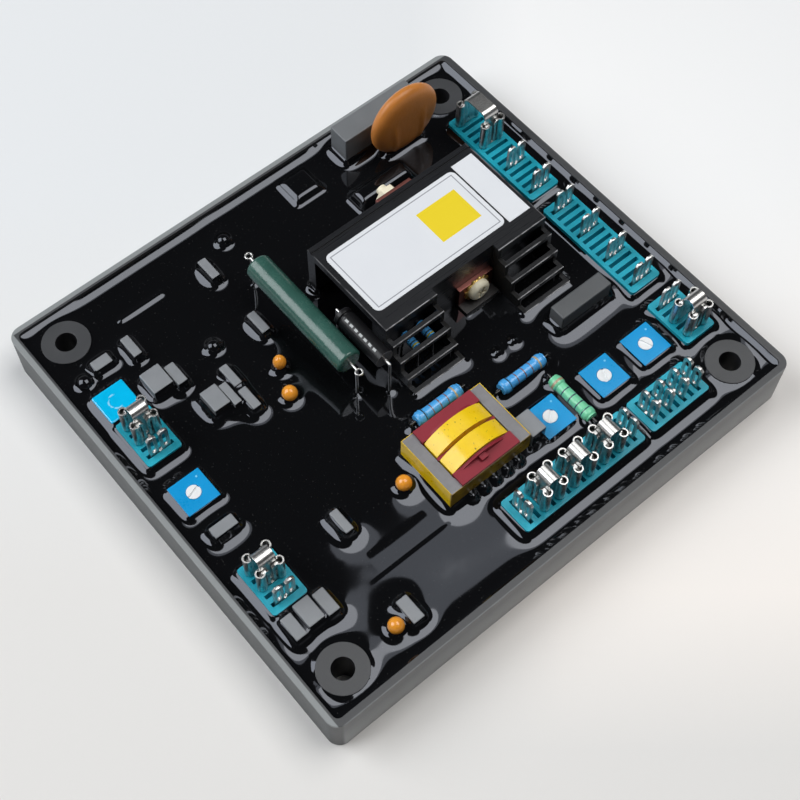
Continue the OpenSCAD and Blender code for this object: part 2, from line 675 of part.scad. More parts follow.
// Bobbin: a tube round the middle leg, three flanges, a key, a shelf on each yoke and a foot for the pins
module transformer_bobbin() {
    tube_w = core_mid_w + 2 * core_clear;
    flange_w = window_l - 2 * core_clear;
    flange_z = core_z + core_clear;
    reach = window_w / 2 - core_clear;
    color([0.52, 0.16, 0.2]) keep(core_at) translate([core_at[0], core_at[1], 0]) difference() {
        union() {
            translate([-tube_w / 2 - bobbin_t, -reach, mid_z - tube_w / 2 - bobbin_t])
                cube([tube_w + 2 * bobbin_t, 2 * reach, tube_w + 2 * bobbin_t]);
            for (y = [bobbin_t - reach, reach]) translate([0, y, 0]) rotate([90, 0, 0])
                linear_extrude(bobbin_t) flange_shape(flange_w, flange_z);
            translate([-flange_w / 2, -bobbin_t / 2, flange_z]) cube([flange_w, bobbin_t, core_top - flange_z]);
            translate([-bobbin_key[0] / 2 - 0.6, -reach - bobbin_key[1], core_top])
                cube([bobbin_key[0], bobbin_key[1] + bobbin_t / 2, bobbin_t + bobbin_key[2]]);
            for (s = [-1, 1])
                translate([0, s * ((window_w + core_yoke_w) / 2 - core_clear), core_top + bobbin_t / 2])
                    cube([flange_w, core_yoke_w + 2 * core_clear, bobbin_t], center = true);
            for (s = [-1, 1]) translate([-flange_w / 2, s > 0 ? reach - 2 * bobbin_t : -reach, board_top + 1])
                cube([flange_w, 2 * bobbin_t, flange_z - board_top - 1 + bobbin_foot_t]);
        }
        translate([-tube_w / 2, -core_w, mid_z - tube_w / 2]) cube([tube_w, 2 * core_w, tube_w]);
        for (s = [-1, 1], i = [0:pin_count - 1])
            translate([(i - (pin_count - 1) / 2) * pin_pitch, s * (reach - bobbin_t), board_top])
                cylinder(d = pin_d + 0.1, h = flange_z - board_top + bobbin_foot_t / 2);
    }
}

// Plan of one winding section, seen along the middle leg: flat sides and a crowned top
module winding_shape() {
    tube = core_mid_w + 2 * core_clear + 2 * bobbin_t + 2 * core_clear;
    bottom = core_z + 1;
    difference() {
        intersection() {
            translate([-winding_l / 2 + 0.3, bottom])
                square([winding_l - 0.6, core_top + winding_crown - bottom]);
            translate([0, core_top + winding_crown - crown_r]) circle(crown_r, $fn = 96);
        }
        translate([0, mid_z]) square([tube, tube], center = true);
    }
}

// Two winding sections, each wrapped in tape
module transformer_winding() {
    section = (window_w - 2 * core_clear - 3 * bobbin_t) / 2 - 2 * core_clear;
    color([0.96, 0.78, 0.05]) keep(core_at) translate([core_at[0], core_at[1], 0])
        for (s = [-1, 1]) translate([0, s * (bobbin_t / 2 + core_clear + section / 2) + section / 2, 0])
            rotate([90, 0, 0]) linear_extrude(section) winding_shape();
}

// Pins of the transformer, from the bobbin's feet to the board
module transformer_pins() {
    reach = window_w / 2 - core_clear;
    color([0.75, 0.74, 0.7]) keep(core_at) translate([core_at[0], core_at[1], board_top])
        for (s = [-1, 1], i = [0:pin_count - 1])
            translate([(i - (pin_count - 1) / 2) * pin_pitch, s * (reach - bobbin_t), 0])
                cylinder(d = pin_d, h = core_z + core_clear - board_top + bobbin_foot_t / 2 - core_clear);
}

// A bent lead: out of the end of a body along +X at height z, then down to the board
module bent_lead(reach, z, d = lead_d) {
    rotate([0, 90, 0]) cylinder(d = d, h = reach);
    translate([reach, 0, 0]) sphere(d = d);
    translate([reach, 0, board_top - z]) cylinder(d = d, h = z - board_top);
}

// Power resistor with a green enamelled body, held up on its leads
module power_resistor() {
    color([0.13, 0.32, 0.27]) keep(power_res_at)
        translate([power_res_at[0], power_res_at[1] + power_res_l / 2, resin_z + power_res_z])
            rotate([90, 0, 0]) rotate_extrude() {
            square([power_res_d / 2 - 0.8, power_res_l]);
            translate([0, 0.8]) square([power_res_d / 2, power_res_l - 1.6]);
            for (y = [0.8, power_res_l - 0.8]) translate([power_res_d / 2 - 0.8, y]) circle(0.8);
        }
}

// Its leads, each with a small eye of wire at the bend
module power_resistor_leads() {
    z = resin_z + power_res_z;
    color([0.75, 0.74, 0.7]) keep(power_res_at) translate([power_res_at[0], power_res_at[1], z])
        for (s = [-1, 1]) translate([0, s * power_res_l / 2, 0]) rotate(s * 90) {
            bent_lead(power_lead_reach, z);
            translate([power_lead_reach + eye_r, 0, 0]) rotate_extrude()
                translate([eye_r, 0]) circle(d = eye_wire_d);
        }
}

// Electrolytic capacitor: a sleeved can with a rolled groove, lying on its leads
module electrolytic_can() {
    groove_r = 0.4;
    color([0.05, 0.05, 0.06]) keep(can_at)
        translate([can_at[0], can_at[1] + can_l / 2, resin_z + can_z]) rotate([90, 0, 0])
            rotate_extrude() difference() {
                square([can_d / 2, can_l]);
                translate([can_d / 2, 1.6]) circle(groove_r);
            }
}

module electrolytic_leads() {
    z = resin_z + can_z;
    color([0.75, 0.74, 0.7]) keep(can_at) translate([can_at[0], can_at[1], z]) for (s = [-1, 1])
        translate([0, s * can_l / 2, 0]) rotate(s * 90) bent_lead(can_lead_reach, z);
}

// Disc varistor: a coated disc that stands on two legs
module disc_varistor() {
    rim_r = disc_t / 2;
    color([0.78, 0.45, 0.15]) keep(disc_at) translate([disc_at[0], disc_at[1], disc_z])
        rotate([90, 0, 0]) rotate_extrude() {
        translate([0, -disc_t / 2]) square([disc_d / 2 - rim_r, disc_t]);
        intersection() {
            translate([disc_d / 2 - rim_r, 0]) circle(rim_r);
            translate([0, -disc_t]) square([disc_d, 2 * disc_t]);
        }
    }
}

module varistor_legs() {
    drop = disc_d / 2 - sqrt(pow(disc_d / 2, 2) - pow(disc_leg_pitch / 2, 2));
    color([0.75, 0.74, 0.7]) keep(disc_at) for (s = [-1, 1])
        translate([disc_at[0] + s * disc_leg_pitch / 2, disc_at[1], board_top])
            cylinder(d = lead_d, h = resin_z + disc_gap + drop - board_top - 0.3);
}

// A box-shaped component, from the board up to its height above the resin
module box_part(b) {
    keep(b[0]) translate([b[0][0] - b[1][0] / 2, b[0][1] - b[1][1] / 2, board_top])
        cube([b[1][0], b[1][1], resin_z + b[2] - board_top]);
}

module box_capacitor() {
    color([0.58, 0.6, 0.62]) box_part(box_cap);
}

module film_capacitor() {
    color([0.42, 0.43, 0.45]) box_part(film_cap);
}

module small_film_capacitors() {
    color([0.58, 0.6, 0.63]) for (b = small_caps) box_part(b);
}

// Dipped bead capacitors, each on the neck that its coating forms round its legs
module bead_capacitors() {
    color([0.92, 0.56, 0.14]) for (i = [0:len(bead_spots) - 1]) keep(bead_spots[i])
        translate([bead_spots[i][0], bead_spots[i][1], board_top]) {
            bead_z = resin_z - board_top + bead_d / 2 + resin_clear + bead_lifts[i];
            translate([0, 0, bead_z]) sphere(d = bead_d);
            cylinder(d = bead_neck_d, h = bead_z);
        }
}

// Transistors under a thick coat of resin, as round lumps
module coated_transistors() {
    color([0.03, 0.03, 0.035]) for (d = domes) keep(d[0]) translate([d[0][0], d[0][1], board_top]) {
        r = (pow(d[1] / 2, 2) + pow(d[2], 2)) / (2 * d[2]);
        cylinder(d = d[1], h = resin_z - board_top);
        translate([0, 0, resin_z - board_top]) intersection() {
            cylinder(d = d[1], h = d[2]);
            translate([0, 0, d[2] - r]) sphere(r);
        }
    }
}

// Flat components under a coat of resin: a relay, a rectifier and an integrated circuit
module coated_blocks() {
    color([0.03, 0.03, 0.035]) for (b = coated_boxes) box_part(b);
}

// Axial resistor along X: a body with thicker ends, and a bent lead at each end
module axial_resistor() {
    cap_l = 3.2;
    end_r = 1.2;
    translate([-axial_l / 2, 0, 0]) rotate([0, 90, 0]) rotate_extrude() {
        square([axial_d / 2 - 0.35, axial_l]);
        for (y = [0, axial_l - cap_l]) {
            translate([0, y + end_r]) square([axial_d / 2, cap_l - 2 * end_r]);
            for (e = [end_r, cap_l - end_r]) intersection() {
                translate([axial_d / 2 - end_r, y + e]) circle(end_r);
                translate([0, y]) square([axial_d, cap_l]);
            }
        }
    }
    for (s = [0, 180]) rotate(s) translate([axial_l / 2, 0, 0]) bent_lead(axial_reach, axial_z);
}

module blue_resistor_a() {
    color([0.3, 0.6, 0.88]) keep(blue_a_at) translate([blue_a_at[0], blue_a_at[1], axial_z]) axial_resistor();
}

module blue_resistor_b() {
    color([0.3, 0.6, 0.88]) keep(blue_b_at) translate([blue_b_at[0], blue_b_at[1], axial_z]) axial_resistor();
}

module green_resistor() {
    color([0.45, 0.83, 0.63]) keep(green_at) translate([green_at[0], green_at[1], axial_z])
        rotate(90) axial_resistor();
}

// Two small resistors under the left bay of fin bars
module small_blue_resistors() {
    color([0.25, 0.5, 0.85]) keep(sink_at) for (p = small_blue_spots)
        translate([p[0], p[1], small_blue_z]) rotate(90) {
        translate([-small_blue_l / 2, 0, 0]) rotate([0, 90, 0]) cylinder(d = small_blue_d, h = small_blue_l);
        for (s = [0, 180]) rotate(s) translate([small_blue_l / 2, 0, 0])
            bent_lead(small_blue_reach, small_blue_z, small_lead_d);
    }
}

tray();
circuit_board();
potting_resin();
heatsink();
blank_label();
strip_label();
front_power_device();
front_device_screw();
rear_power_device();
rear_device_bolt();
terminal_block(block_a);  // terminal_block_a
terminal_block(block_b);  // terminal_block_b
terminal_block(block_c);  // terminal_block_c
terminal_block(block_d);  // terminal_block_d
terminal_block(block_e);  // terminal_block_e
terminal_block(block_f);  // terminal_block_f
terminal_block(block_g);  // terminal_block_g
blade_tabs(block_a);  // blade_tabs_a
blade_tabs(block_b);  // blade_tabs_b
blade_tabs(block_c);  // blade_tabs_c
blade_tabs(block_d);  // blade_tabs_d
blade_tabs(block_e);  // blade_tabs_e
blade_tabs(block_f);  // blade_tabs_f
blade_tabs(block_g);  // blade_tabs_g
link(block_a, 1, 3);  // link_a
link(block_c, -1, 0);  // link_c
for (w = [-2.5, -0.5, 1.5]) link(block_e, w, w + 1);  // links_e
link(block_f, 0, 1);  // link_f
link(block_g, 0, 1);  // link_g
trimmer(trimmer_spots[0]);  // trimmer_1
trimmer(trimmer_spots[1]);  // trimmer_2
trimmer(trimmer_spots[2]);  // trimmer_3
trimmer(trimmer_spots[3]);  // trimmer_4
sealed_trimmer();
trimmer_rotor(0);  // trimmer_rotor_1
trimmer_rotor(1);  // trimmer_rotor_2
trimmer_rotor(2);  // trimmer_rotor_3
trimmer_rotor(3);  // trimmer_rotor_4
transformer_core();
transformer_bobbin();
transformer_winding();
transformer_pins();
power_resistor();
power_resistor_leads();
electrolytic_can();
electrolytic_leads();
disc_varistor();
varistor_legs();
box_capacitor();
film_capacitor();
small_film_capacitors();
bead_capacitors();
coated_transistors();
coated_blocks();
blue_resistor_a();
blue_resistor_b();
green_resistor();
small_blue_resistors();
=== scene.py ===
import json
import math

import bpy
import numpy as np
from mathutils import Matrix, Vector

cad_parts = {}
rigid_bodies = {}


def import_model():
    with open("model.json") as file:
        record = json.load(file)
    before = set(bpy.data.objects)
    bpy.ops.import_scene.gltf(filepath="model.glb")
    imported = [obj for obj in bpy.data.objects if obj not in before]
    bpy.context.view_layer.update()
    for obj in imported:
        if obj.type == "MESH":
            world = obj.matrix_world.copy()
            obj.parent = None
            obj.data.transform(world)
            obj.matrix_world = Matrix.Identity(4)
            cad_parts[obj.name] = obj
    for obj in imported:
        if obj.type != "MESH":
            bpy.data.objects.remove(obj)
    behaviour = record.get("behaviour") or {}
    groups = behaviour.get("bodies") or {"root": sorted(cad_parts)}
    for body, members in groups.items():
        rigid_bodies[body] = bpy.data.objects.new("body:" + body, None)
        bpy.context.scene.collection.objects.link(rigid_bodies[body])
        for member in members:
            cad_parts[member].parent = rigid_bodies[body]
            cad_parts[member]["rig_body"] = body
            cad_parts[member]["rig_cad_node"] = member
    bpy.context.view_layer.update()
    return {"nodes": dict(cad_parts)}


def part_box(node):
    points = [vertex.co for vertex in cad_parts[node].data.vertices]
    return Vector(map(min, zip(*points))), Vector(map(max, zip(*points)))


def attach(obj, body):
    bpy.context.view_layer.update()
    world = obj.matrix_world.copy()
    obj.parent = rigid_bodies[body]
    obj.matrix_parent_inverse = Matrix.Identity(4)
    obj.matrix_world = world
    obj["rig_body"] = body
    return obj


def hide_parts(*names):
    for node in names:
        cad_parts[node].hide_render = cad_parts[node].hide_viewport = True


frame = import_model()

# Camera
# It looks down over the near corner of the tray from where the photograph was taken,
# through a long lens with a small shift for the photograph's framing.
bpy.ops.object.select_all(action="DESELECT")
bpy.ops.object.camera_add(
    location=(-0.12579203, -0.14528392, 0.33944737),
    rotation=[math.radians(a) for a in (28.62068, 0.27918, -39.61520)],
)
camera = bpy.context.object
camera.name = "photo_camera"
camera.data.lens = 65.9013
camera.data.sensor_width = 36
camera.data.shift_x = 0.03283762
camera.data.shift_y = 0.00060349
camera.data.clip_start = 0.02
bpy.context.scene.camera = camera
bpy.context.scene.view_settings.view_transform = "Standard"


# Floor
# A pale sheet of paper that the regulator lies on, a little cooler at the back and warmer in
# front. Near the tray on the right it is painted brighter, as painted light over the tray's shadow,
# and far away it shows a pale backdrop that lights nothing.
class Flow:
    """One output in a material's nodes. Arithmetic on it adds Math nodes, and node() adds any other."""

    def __init__(self, tree, out):
        self.tree, self.out = tree, out

    def node(self, kind, settings=None, inputs=None, out=0):
        made = self.tree.nodes.new(kind)
        for name, value in (settings or {}).items():
            if name == "stops":
                ends = made.color_ramp.elements
                ends[0].position, ends[0].color = value[0]
                ends[1].position, ends[1].color = value[-1]
                for place, colour in value[1:-1]:
                    ends.new(place).color = colour
            else:
                setattr(made, name, value)
        for key, value in (inputs or {}).items():
            if isinstance(value, Flow):
                self.tree.links.new(value.out, made.inputs[key])
            else:
                made.inputs[key].default_value = value
        return Flow(self.tree, made.outputs[out])

    def to(self, shader, socket):
        self.tree.links.new(self.out, shader.inputs[socket])

    def maths(self, operation, *values):
        return self.node("ShaderNodeMath", {"operation": operation}, dict(enumerate(values)))

    def __add__(self, other):
        return self.maths("ADD", self, other)

    def __sub__(self, other):
        return self.maths("SUBTRACT", self, other)

    def __rsub__(self, other):
        return self.maths("SUBTRACT", other, self)

    def __mul__(self, other):
        return self.maths("MULTIPLY", self, other)

    def __lt__(self, other):
        return self.maths("LESS_THAN", self, other)

    def __gt__(self, other):
        return self.maths("GREATER_THAN", self, other)

    def __abs__(self):
        return self.maths("ABSOLUTE", self)

    __radd__, __rmul__ = __add__, __mul__


def finish(name, **constants):
    """A new material, its shader with the constants set, and its Object coordinates in millimetres."""
    material = bpy.data.materials.new(name)
    material.use_nodes = True
    tree = material.node_tree
    shader = tree.nodes["Principled BSDF"]
    for key, value in constants.items():
        shader.inputs[key.replace("_", " ")].default_value = value
    metres = Flow(tree, tree.nodes.new("ShaderNodeTexCoord").outputs["Object"])
    place = metres.node("ShaderNodeVectorMath", {"operation": "SCALE"}, {0: metres, "Scale": 1000})
    return material, shader, place


def cloud(place, grain, detail=3):
    """Soft noise with patches about as many millimetres wide as grain."""
    return place.node("ShaderNodeTexNoise", {}, {"Vector": place, "Scale": 1 / grain, "Detail": detail})


def parts(place):
    """The x, y and z of a place."""
    return [place.node("ShaderNodeSeparateXYZ", {}, {0: place}, axis) for axis in range(3)]


def limit(value, width):
    """0 below zero, 1 above width, and a straight slope between."""
    return value.node("ShaderNodeMapRange", {"clamp": True}, {0: value, 2: width})


def tint(amount, low, high):
    """A colour between two, by a value."""
    return amount.node(
        "ShaderNodeMix",
        {"data_type": "RGBA"},
        {
            0: amount,
            6: low if isinstance(low, Flow) else (*low, 1),
            7: high if isinstance(high, Flow) else (*high, 1),
        },
        2,
    )


def relief(height, depth):
    """A Bump of that depth in millimetres."""
    return height.node("ShaderNodeBump", {}, {"Strength": 1, "Distance": depth / 1000, "Height": height})


def seen(flow):
    """1 where the camera looks, straight or by way of a mirror or glass, and 0 where light would fall."""
    looks = ("Is Camera Ray", "Is Glossy Ray", "Is Transmission Ray")
    return limit(sum(flow.node("ShaderNodeLightPath", out=look) for look in looks), 1)


def begun(name, primitive, scale=(1, 1, 1), **shape):
    """A new mesh from one of Blender's primitives, alone in the selection, with its place applied."""
    bpy.ops.object.select_all(action="DESELECT")
    primitive(**shape)
    piece = bpy.context.object
    piece.name = name
    piece.scale = scale
    bpy.ops.object.transform_apply(location=True, rotation=True, scale=True)
    return piece


floor = begun("paper_floor", bpy.ops.mesh.primitive_plane_add, size=60, location=(0, 0, 0))
paper, shader, place = finish("pale_paper", Roughness=0.75, Specular_IOR_Level=0.25, Emission_Strength=1)
x, y, _ = parts(place)
right, away = 0.77 * x - 0.64 * y, 0.64 * x + 0.77 * y
warm = limit(60 - away, 120)
sheet = tint(warm, (0.80, 0.815, 0.83), (0.80, 0.785, 0.765))
square = x * x + y * y
apart = square.maths("SQRT", square)
# Painted light: near the tray on the right, the paper is painted brighter where the tray's shadow falls.
painted_light = limit(right - 5, 35) * limit(away + 100, 40) * limit(320 - apart, 200)
backdrop = limit(apart - 260, 900) * seen(place)
tint(backdrop, (0, 0, 0), (0.74, 0.745, 0.75)).to(shader, "Emission Color")
tint(painted_light, sheet, tint(warm, (0.93, 0.93, 0.93), (0.97, 0.92, 0.875))).to(shader, "Base Color")
relief(cloud(place, 3), 0.05).to(shader, "Normal")
floor.data.materials.append(paper)


# Studio light
# A soft box stands low on the left and another hangs over the right, with a dimmer strip beside it.
# The flat resin mirrors the dark between them, and each rounded foot of resin mirrors a box.
def soft_box(name, place, size, power, colour, aim=(0, 0, 0)):
    """A rectangular lamp at a place, turned towards its aim."""
    bpy.ops.object.select_all(action="DESELECT")
    bpy.ops.object.light_add(
        type="AREA",
        location=place,
        rotation=(Vector(place) - Vector(aim)).to_track_quat("Z", "Y").to_euler(),
    )
    lamp = bpy.context.object
    lamp.name = name
    lamp.data.shape = "RECTANGLE"
    lamp.data.size, lamp.data.size_y = size
    lamp.data.energy = power
    lamp.data.color = colour


soft_box("soft_box_left", (-0.64, 0.54, 0.86), (0.9, 0.9), 11.4, (0.95, 0.975, 1))
soft_box("soft_box_right", (0.37, -0.15, 1.0), (0.7, 0.7), 6.8, (1, 0.995, 0.98), (0.37, -0.15, 0))
soft_box("dim_panel", (0.37, 0.235, 1.0), (0.7, 0.07), 0.19, (0.94, 0.965, 1), (0.37, 0.235, 0))

room = bpy.data.worlds.new("studio_room")
room.use_nodes = True
bpy.context.scene.world = room
tree = room.node_tree
ray = Flow(tree, tree.nodes.new("ShaderNodeTexCoord").outputs["Generated"])
height = ray.node("ShaderNodeSeparateXYZ", {}, {0: ray}, 2)
glow = height.node(
    "ShaderNodeValToRGB",
    {
        "stops": [
            (0.0, (0.42, 0.43, 0.44, 1)),
            (0.10, (0.27, 0.275, 0.285, 1)),
            (0.30, (0.04, 0.04, 0.044, 1)),
            (1.0, (0.02, 0.02, 0.022, 1)),
        ]
    },
    {0: height},
)
backdrop = limit(0.08 - height, 0.03) * seen(height)
tint(backdrop, glow, (0.76, 0.765, 0.77)).to(tree.nodes["Background"], "Color")


# Tray
# A shallow open tray, injection moulded in one piece from satin black plastic, with a paler
# textured outside. Its rim is rounded, and four bosses with clear holes take the fixing bolts.
# Its front wall carries painted light bounced from the floor, the top of its far and left rim a
# painted reflection, and its bores painted shade.
def only(piece):
    """Makes one object the whole selection, and the active one."""
    bpy.ops.object.select_all(action="DESELECT")
    piece.select_set(True)
    bpy.context.view_layer.objects.active = piece


def modified(piece, kind, **settings):
    """Adds a modifier with these settings and applies it."""
    only(piece)
    modifier = piece.modifiers.new(kind.lower(), kind)
    for key, value in settings.items():
        setattr(modifier, key, value)
    bpy.ops.object.modifier_apply(modifier=modifier.name)


def eased(piece, width, segments=2, angle=30, smooth=40):
    """Rounds every sharp edge by width millimetres and keeps the flats flat."""
    if width:
        modified(
            piece,
            "BEVEL",
            width=width / 1000,
            segments=segments,
            limit_method="ANGLE",
            angle_limit=math.radians(angle),
            miter_outer="MITER_ARC",
        )
    only(piece)
    bpy.ops.object.shade_smooth_by_angle(angle=math.radians(smooth))
    modified(piece, "WEIGHTED_NORMAL", weight=60, keep_sharp=True)


def taken(node, name, flats=True):
    """A merged copy of a CAD solid, free of its body, to be shaped further."""
    only(frame["nodes"][node])
    bpy.ops.object.duplicate()
    piece = bpy.context.object
    piece.name = name
    bpy.ops.object.parent_clear(type="CLEAR_KEEP_TRANSFORM")
    bpy.ops.object.transform_apply(location=True, rotation=True, scale=True)
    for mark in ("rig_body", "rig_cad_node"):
        if mark in piece:
            del piece[mark]
    bpy.ops.mesh.customdata_custom_splitnormals_clear()
    bpy.ops.object.mode_set(mode="EDIT")
    bpy.ops.mesh.select_all(action="SELECT")
    bpy.ops.mesh.remove_doubles(threshold=2e-6)
    if flats:
        bpy.ops.mesh.dissolve_limited(angle_limit=math.radians(0.5))
    bpy.ops.object.mode_set(mode="OBJECT")
    return piece


def fitted(piece, material, slot, *nodes, body="regulator"):
    """Gives a piece its finish and its place on a body, and hides the solids that it stands for."""
    piece.data.materials.clear()
    piece.data.materials.append(material)
    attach(piece, body)
    if nodes:
        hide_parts(*nodes)


def dressed(node, name, material, slot, width, segments=2, body="regulator", flats=True):
    """A copy of a CAD solid with its edges rounded by width and its finish on, in place of that solid."""
    piece = taken(node, name, flats)
    eased(piece, width, segments)
    fitted(piece, material, slot, node, body=body)


def moulded(name, colour, rough, grain=0.35, depth=0.012, mottle=0.1, **constants):
    """A plastic or lacquer with faint patches, uneven gloss and a fine moulded grain."""
    material, shader, place = finish(name, **constants)
    patches = cloud(place, 7)
    fine = cloud(place, grain)
    low, high = [[c * share for c in colour] for share in (1 - mottle, 1 + mottle)]
    tint(patches, low, high).to(shader, "Base Color")
    (rough + 0.16 * (fine - 0.5) + 0.12 * (patches - 0.5)).to(shader, "Roughness")
    relief(fine, depth).to(shader, "Normal")
    return material


boss_x, boss_y = 64, 57
satin, shader, place = finish("satin_black_plastic", Specular_IOR_Level=0.45)
x, y, z = parts(place)
outside = limit(abs(x) - 74.6, 0.3) + limit(abs(y) - 67.6, 0.3)
outside = outside.maths("MINIMUM", outside, 1.0)
# Painted shade: the bores are painted near-black below the boss tops.
bore = place.node("ShaderNodeVectorMath", {"operation": "ABSOLUTE"}, {0: place})
bore = bore.node("ShaderNodeVectorMath", {"operation": "SUBTRACT"}, {0: bore, 1: (boss_x, boss_y, 0)})
bx, by, _ = parts(bore)
bore = (bx * bx + by * by < 8.6) * (z < 13.4)
patches, fine = cloud(place, 7), cloud(place, 0.22)
dark = tint(patches, (0.044, 0.046, 0.05), (0.058, 0.060, 0.064))
pale = tint(patches, (0.078, 0.084, 0.087), (0.098, 0.104, 0.107))
# Painted light: the front wall is painted much brighter, most of all towards the bottom, as light bounced
# from the floor.
front = tint(limit(11.5 - z, 10), (0.19, 0.196, 0.2), (0.36, 0.366, 0.37))
outside_with_painted_bounce = tint(limit(-67.5 - y, 0.4), pale, front)
# Painted reflection: the top of the far and left rim is painted pale, as the left soft box mirrored in the
# rounded rim.
far_rim, left_rim = limit(y - 66.5, 0.2), limit(-73.5 - x, 0.2)
painted_edge_highlight = far_rim.maths("MAXIMUM", far_rim, left_rim) * limit(z - 14.2, 0.3)
skin = tint(painted_edge_highlight, tint(outside, dark, outside_with_painted_bounce), (0.26, 0.275, 0.28))
tint(bore, skin, (0.016, 0.016, 0.018)).to(shader, "Base Color")
(0.38 + 0.14 * outside + 0.16 * (fine - 0.5) + 0.12 * (patches - 0.5)).to(shader, "Roughness")
relief(fine, 0.02).to(shader, "Normal")
dressed("tray", "moulded_tray", satin, "tray_plastic", 0.45, 3)

# Circuit board
# A glass-fibre board with a green lacquer lies deep in the tray and carries every component.
# The resin hides it, so the solid itself stays and only takes a woven green finish.
laminate, shader, place = finish("green_laminate", Roughness=0.4)
weave = place.node("ShaderNodeTexChecker", {}, {"Vector": place, "Scale": 1.2}, 1)
tint(weave * 0.5 + cloud(place, 5) * 0.5, (0.05, 0.2, 0.1), (0.09, 0.28, 0.15)).to(shader, "Base Color")
relief(weave, 0.02).to(shader, "Normal")
board = frame["nodes"]["circuit_board"]
board.data.materials.clear()
board.data.materials.append(laminate)

# Potting resin
# Black epoxy poured over the board, with a mirror gloss. It creeps up every part that stands in
# it, so each one has a rounded foot of resin, and it covers the low parts as soft humps.
across, deep = 145.96, 131.96
wall_x, wall_y = 72.9, 65.9
resin_z = 12.5
cells_x, cells_y = 318, 288
pitch = 0.459
creep = 2.4
resin = begun(
    "poured_resin",
    bpy.ops.mesh.primitive_grid_add,
    scale=(across / 1000, deep / 1000, 1),
    x_subdivisions=cells_x,
    y_subdivisions=cells_y,
    size=1,
)
points = np.empty(len(resin.data.vertices) * 3)
resin.data.vertices.foreach_get("co", points)
points = points.reshape(-1, 3)
X, Y = points[:, 0] * 1000, points[:, 1] * 1000


def box_reach(x, y, long, wide):
    """How far each point of the resin is outside a rectangle, in millimetres."""
    dx, dy = np.abs(X - x) - long / 2, np.abs(Y - y) - wide / 2
    return np.hypot(np.maximum(dx, 0), np.maximum(dy, 0)) + np.minimum(np.maximum(dx, dy), 0)


def round_reach(x, y, diameter):
    """How far each point is outside a circle."""
    return np.hypot(X - x, Y - y) - diameter / 2


def line_reach(x1, y1, x2, y2):
    """How far each point is from a straight line between two points."""
    along = np.clip(((X - x1) * (x2 - x1) + (Y - y1) * (y2 - y1)) / ((x2 - x1) ** 2 + (y2 - y1) ** 2), 0, 1)
    return np.hypot(X - x1 - along * (x2 - x1), Y - y1 - along * (y2 - y1))


held = np.zeros(len(X), bool)
foot = np.zeros(len(X))
humps = np.zeros(len(X))
# The lift of the resin for each pull of the relaxed surface: gentle on the open level, steep at a side
pull = np.linspace(0, 4, 400)
lift = 0.42 * pull + 0.58 * pull**3 / 4.6


def climbs(reach, rise=2.0):
    """An upright side that the resin creeps up by rise millimetres."""
    inside = reach < 0.2
    held[inside] = True
    foot[inside] = np.maximum(foot[inside], np.interp(rise, lift, pull))


def hump(reach, rise, edge=0.9):
    """A low part that the resin covers, as a soft step."""
    np.maximum(humps, rise / (1 + np.exp(np.clip(reach / (edge * 0.45), -40, 40))), out=humps)


def neighbours(values):
    """The sum of the four points around each point of the grid."""
    edged = np.pad(values, 1, mode="edge")
    return edged[:-2, 1:-1] + edged[2:, 1:-1] + edged[1:-1, :-2] + edged[1:-1, 2:]


# The tray's walls and bosses
climbs(np.minimum(wall_x + X, wall_y - np.abs(Y)), 1.4)
climbs(wall_x - X, 2.2)
for x in (-boss_x, boss_x):
    for y in (-boss_y, boss_y):
        climbs(round_reach(x, y, 13), 0.9)
terminal_rows = {
    "a": (63.6, 29.8, 10.2, 35),
    "b": (63.6, -9.4, 10.2, 35),
    "c": (63.6, -39.4, 10.2, 15),
    "d": (43.8, -54.4, 20, 10.2),
    "e": (11.3, -54.4, 40, 10.2),
    "f": (-63.6, 20.4, 10.2, 15),
    "g": (-63.6, -29.9, 10.2, 15),
}
for row in terminal_rows.values():
    climbs(box_reach(*row), 1.6 if row[0] > 60 else 2.0)
trimmer_spots = [(-64, 1), (36.1, -39.5), (50.8, -39.5), (17.4, -39.4)]
sealed_spot = (-64, 34)
trimmer_wide = 9.5
for x, y in trimmer_spots + [sealed_spot]:
    climbs(box_reach(x, y, trimmer_wide, trimmer_wide), 1.6)
# The heatsink's walls, fin plates and lowest bars, and both power devices
climbs(box_reach(22.6, 29.1, 53.8, 3))
climbs(box_reach(22.6, 2.95, 53.8, 3), 0.3)
for x in (-3.7, 11.9, 33.9, 48.9):
    climbs(box_reach(x, -6, 1.2, 14), 0.6)
for x in (4.1, 41.4):
    climbs(box_reach(x, -12, 16.5, 1.4), 0.85)
climbs(box_reach(27.2, -1.6, 11.6, 3), 0.3)
climbs(box_reach(25.2, 32.9, 11.6, 4.6))
